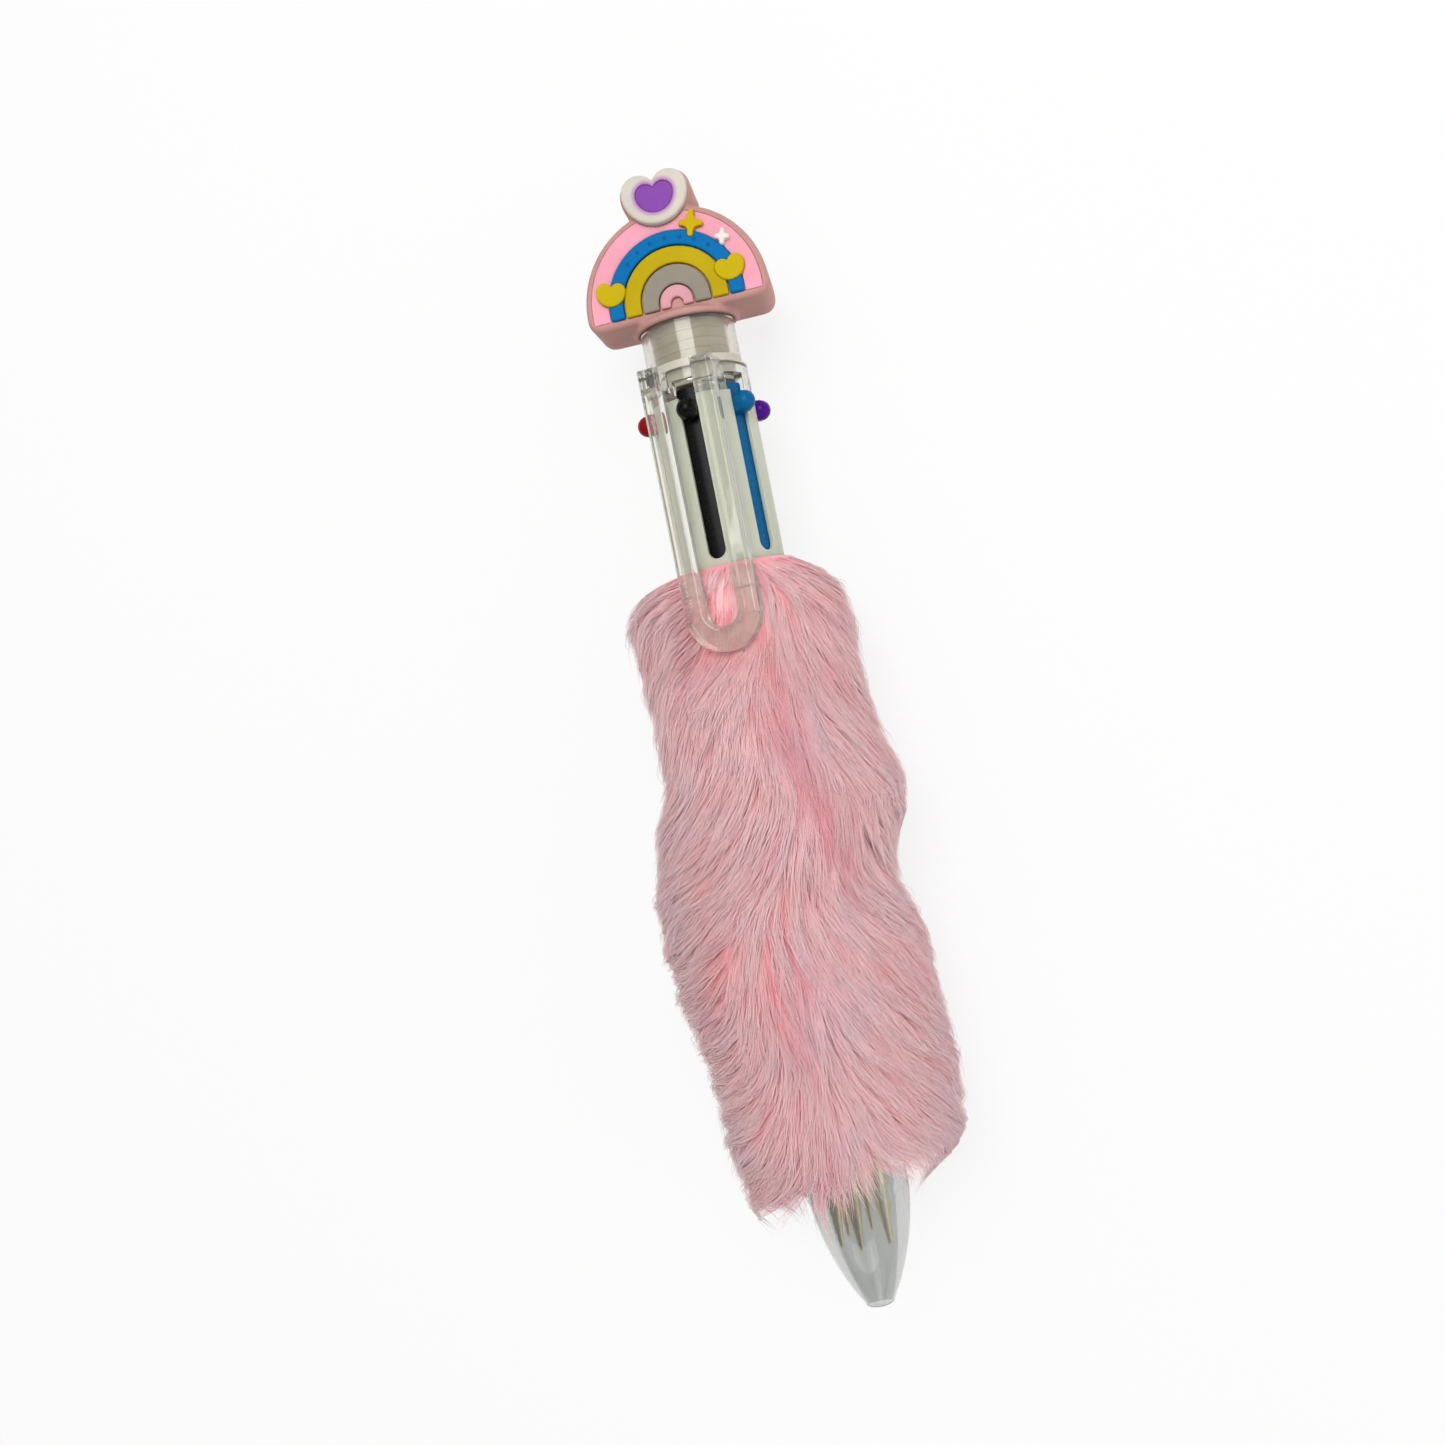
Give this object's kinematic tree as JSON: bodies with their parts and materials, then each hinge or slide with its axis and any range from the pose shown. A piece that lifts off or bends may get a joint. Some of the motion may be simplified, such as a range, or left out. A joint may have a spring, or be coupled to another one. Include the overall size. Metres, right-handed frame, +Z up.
{
  "type": "multicolor click pen",
  "caption": "Retractable ballpoint with a ring of sliding colour buttons, hairpin clip, plush grip sleeve and soft rainbow topper.",
  "frame": {"origin": "centre of the bounding box in X and Y, on the sleeve's flat underside, where the pen lies", "axes": "+Y along the pen from the nozzle to the topper, +Z up on the clip's side, +X to the right"},
  "size_m": [0.034, 0.1566, 0.0327],
  "materials": {
    "barrel_milky": "satin, slightly translucent",
    "clear_plastic": "gloss, clear",
    "frosted_plastic": "frosted, translucent",
    "white_plastic": "satin",
    "topper_pink": "soft matte",
    "topper_bright_pink": "soft matte",
    "topper_blue": "soft matte",
    "topper_yellow": "soft matte",
    "topper_grey": "soft matte",
    "topper_white": "soft matte",
    "topper_purple": "soft matte",
    "fur_pink": "long soft pile",
    "sleeve_fabric": "knitted",
    "spring_steel": "bright drawn wire",
    "point_brass": "bright",
    "refill_plastic": "satin, translucent",
    "slider_black": "gloss",
    "slider_blue": "gloss",
    "slider_purple": "gloss",
    "slider_orange": "gloss",
    "slider_green": "gloss",
    "slider_red": "gloss"
  },
  "bodies": {
    "root": {"barrel": "barrel_milky", "spring_hub": "white_plastic", "clip_collar": "clear_plastic", "neck_plug": "white_plastic", "neck_cap": "clear_plastic", "sleeve_backing": "sleeve_fabric", "fur_pile": "fur_pink", "topper_body": "topper_pink", "topper_face": "topper_bright_pink", "topper_arc_blue": "topper_blue", "topper_arc_yellow": "topper_yellow", "topper_arc_grey": "topper_grey", "topper_arc_pink": "topper_bright_pink", "topper_side_hearts": "topper_yellow", "topper_sparkle_yellow": "topper_yellow", "topper_sparkle_white": "topper_white", "topper_heart": "topper_white", "topper_heart_centre": "topper_purple", "spring_black": "spring_steel", "spring_blue": "spring_steel", "spring_purple": "spring_steel", "spring_orange": "spring_steel", "spring_green": "spring_steel", "spring_red": "spring_steel"},
    "cone": {"tip_cone": "frosted_plastic"},
    "slider_black": {"slider_black": "slider_black", "refill_tube_black": "refill_plastic"},
    "point_black": {"refill_point_black": "point_brass"},
    "slider_blue": {"slider_blue": "slider_blue", "refill_tube_blue": "refill_plastic"},
    "point_blue": {"refill_point_blue": "point_brass"},
    "slider_purple": {"slider_purple": "slider_purple", "refill_tube_purple": "refill_plastic"},
    "point_purple": {"refill_point_purple": "point_brass"},
    "slider_orange": {"slider_orange": "slider_orange", "refill_tube_orange": "refill_plastic"},
    "point_orange": {"refill_point_orange": "point_brass"},
    "slider_green": {"slider_green": "slider_green", "refill_tube_green": "refill_plastic"},
    "point_green": {"refill_point_green": "point_brass"},
    "slider_red": {"slider_red": "slider_red", "refill_tube_red": "refill_plastic"},
    "point_red": {"refill_point_red": "point_brass"}
  },
  "joints": [
    {"name": "cone_unscrew", "type": "slide", "parent": "root", "child": "cone", "axis": [0, -1, 0], "range_m": [0, 0.03]},
    {"name": "press_black", "type": "slide", "parent": "root", "child": "slider_black", "axis": [0, -1, 0], "range_m": [0, 0.011], "stiffness_N_per_m": 80, "springref_m": -0.004, "deforming": ["spring_black"]},
    {"name": "bend_black", "type": "hinge", "parent": "slider_black", "child": "point_black", "pos_m": [0, -0.05414, 0.0194], "axis": [1, 0, 0], "range_deg": [0, 11.7], "deforming": ["refill_tube_black"]},
    {"name": "press_blue", "type": "slide", "parent": "root", "child": "slider_blue", "axis": [0, -1, 0], "range_m": [0, 0.011], "stiffness_N_per_m": 80, "springref_m": -0.004, "deforming": ["spring_blue"]},
    {"name": "bend_blue", "type": "hinge", "parent": "slider_blue", "child": "point_blue", "pos_m": [0.0032, -0.05414, 0.01755], "axis": [0.5, 0, -0.866], "range_deg": [0, 11.7], "deforming": ["refill_tube_blue"]},
    {"name": "press_purple", "type": "slide", "parent": "root", "child": "slider_purple", "axis": [0, -1, 0], "range_m": [0, 0.011], "stiffness_N_per_m": 80, "springref_m": -0.004, "deforming": ["spring_purple"]},
    {"name": "bend_purple", "type": "hinge", "parent": "slider_purple", "child": "point_purple", "pos_m": [0.0032, -0.05414, 0.01385], "axis": [-0.5, 0, -0.866], "range_deg": [0, 11.7], "deforming": ["refill_tube_purple"]},
    {"name": "press_orange", "type": "slide", "parent": "root", "child": "slider_orange", "axis": [0, -1, 0], "range_m": [0, 0.011], "stiffness_N_per_m": 80, "springref_m": -0.004, "deforming": ["spring_orange"]},
    {"name": "bend_orange", "type": "hinge", "parent": "slider_orange", "child": "point_orange", "pos_m": [0, -0.05414, 0.012], "axis": [-1, 0, 0], "range_deg": [0, 11.7], "deforming": ["refill_tube_orange"]},
    {"name": "press_green", "type": "slide", "parent": "root", "child": "slider_green", "axis": [0, -1, 0], "range_m": [0, 0.011], "stiffness_N_per_m": 80, "springref_m": -0.004, "deforming": ["spring_green"]},
    {"name": "bend_green", "type": "hinge", "parent": "slider_green", "child": "point_green", "pos_m": [-0.0032, -0.05414, 0.01385], "axis": [-0.5, 0, 0.866], "range_deg": [0, 11.7], "deforming": ["refill_tube_green"]},
    {"name": "press_red", "type": "slide", "parent": "root", "child": "slider_red", "axis": [0, -1, 0], "range_m": [0, 0.011], "stiffness_N_per_m": 80, "springref_m": -0.004, "deforming": ["spring_red"]},
    {"name": "bend_red", "type": "hinge", "parent": "slider_red", "child": "point_red", "pos_m": [-0.0032, -0.05414, 0.01755], "axis": [0.5, 0, 0.866], "range_deg": [0, 11.7], "deforming": ["refill_tube_red"]}
  ],
  "couplings": [
    {"joint": "bend_black", "follows": "press_black", "rad_per_m": 18.366},
    {"joint": "bend_blue", "follows": "press_blue", "rad_per_m": 18.366},
    {"joint": "bend_purple", "follows": "press_purple", "rad_per_m": 18.366},
    {"joint": "bend_orange", "follows": "press_orange", "rad_per_m": 18.366},
    {"joint": "bend_green", "follows": "press_green", "rad_per_m": 18.366},
    {"joint": "bend_red", "follows": "press_red", "rad_per_m": 18.366}
  ]
}
